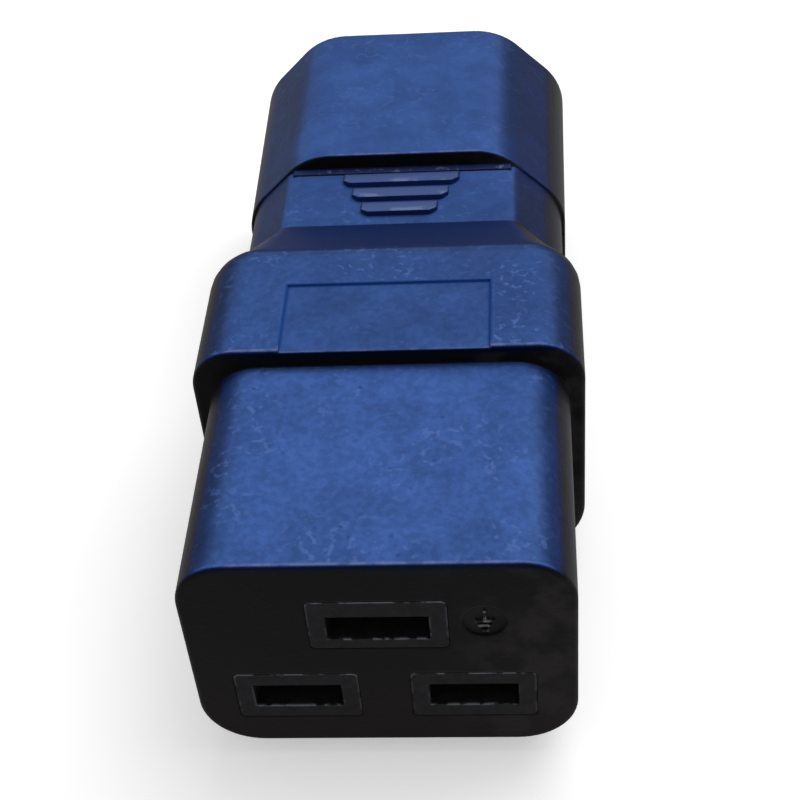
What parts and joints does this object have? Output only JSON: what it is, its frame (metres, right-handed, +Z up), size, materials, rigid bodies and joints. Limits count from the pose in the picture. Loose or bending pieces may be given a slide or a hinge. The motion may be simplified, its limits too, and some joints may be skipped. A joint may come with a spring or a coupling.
{
  "type": "c19 power connector",
  "caption": "In-line moulded power adapter: a flat-slotted appliance socket behind a stepped collar at one end, a shrouded pin inlet at the other.",
  "frame": {"origin": "middle of the length and width, on the plane that the collar rests on", "axes": "+Y from the socket face to the inlet's rim, +Z up to the earth side, +X on the right of someone who looks into the socket"},
  "size_m": [0.0306, 0.068, 0.0234],
  "materials": {
    "black_pvc": "satin moulded PVC",
    "black_nylon": "matt moulded nylon",
    "black_pbt": "matt moulded PBT",
    "nickel_plate": "nickel-plated brass",
    "tinned_brass": "stamped brass strip",
    "spring_steel": "blank spring steel",
    "copper": "bare copper",
    "brown_pvc": "extruded PVC",
    "blue_pvc": "extruded PVC",
    "green_yellow_pvc": "extruded PVC"
  },
  "bodies": {
    "root": {"outer_body": "black_pvc", "socket_insert": "black_nylon", "insert_cap": "black_nylon", "pin_carrier": "black_pbt", "line_contact": "tinned_brass", "line_spring_clip": "spring_steel", "line_pin": "nickel_plate", "line_conductor": "copper", "line_insulation": "brown_pvc", "neutral_contact": "tinned_brass", "neutral_spring_clip": "spring_steel", "neutral_pin": "nickel_plate", "neutral_conductor": "copper", "neutral_insulation": "blue_pvc", "earth_contact": "tinned_brass", "earth_spring_clip": "spring_steel", "earth_pin": "nickel_plate", "earth_conductor": "copper", "earth_insulation": "green_yellow_pvc"}
  },
  "joints": []
}
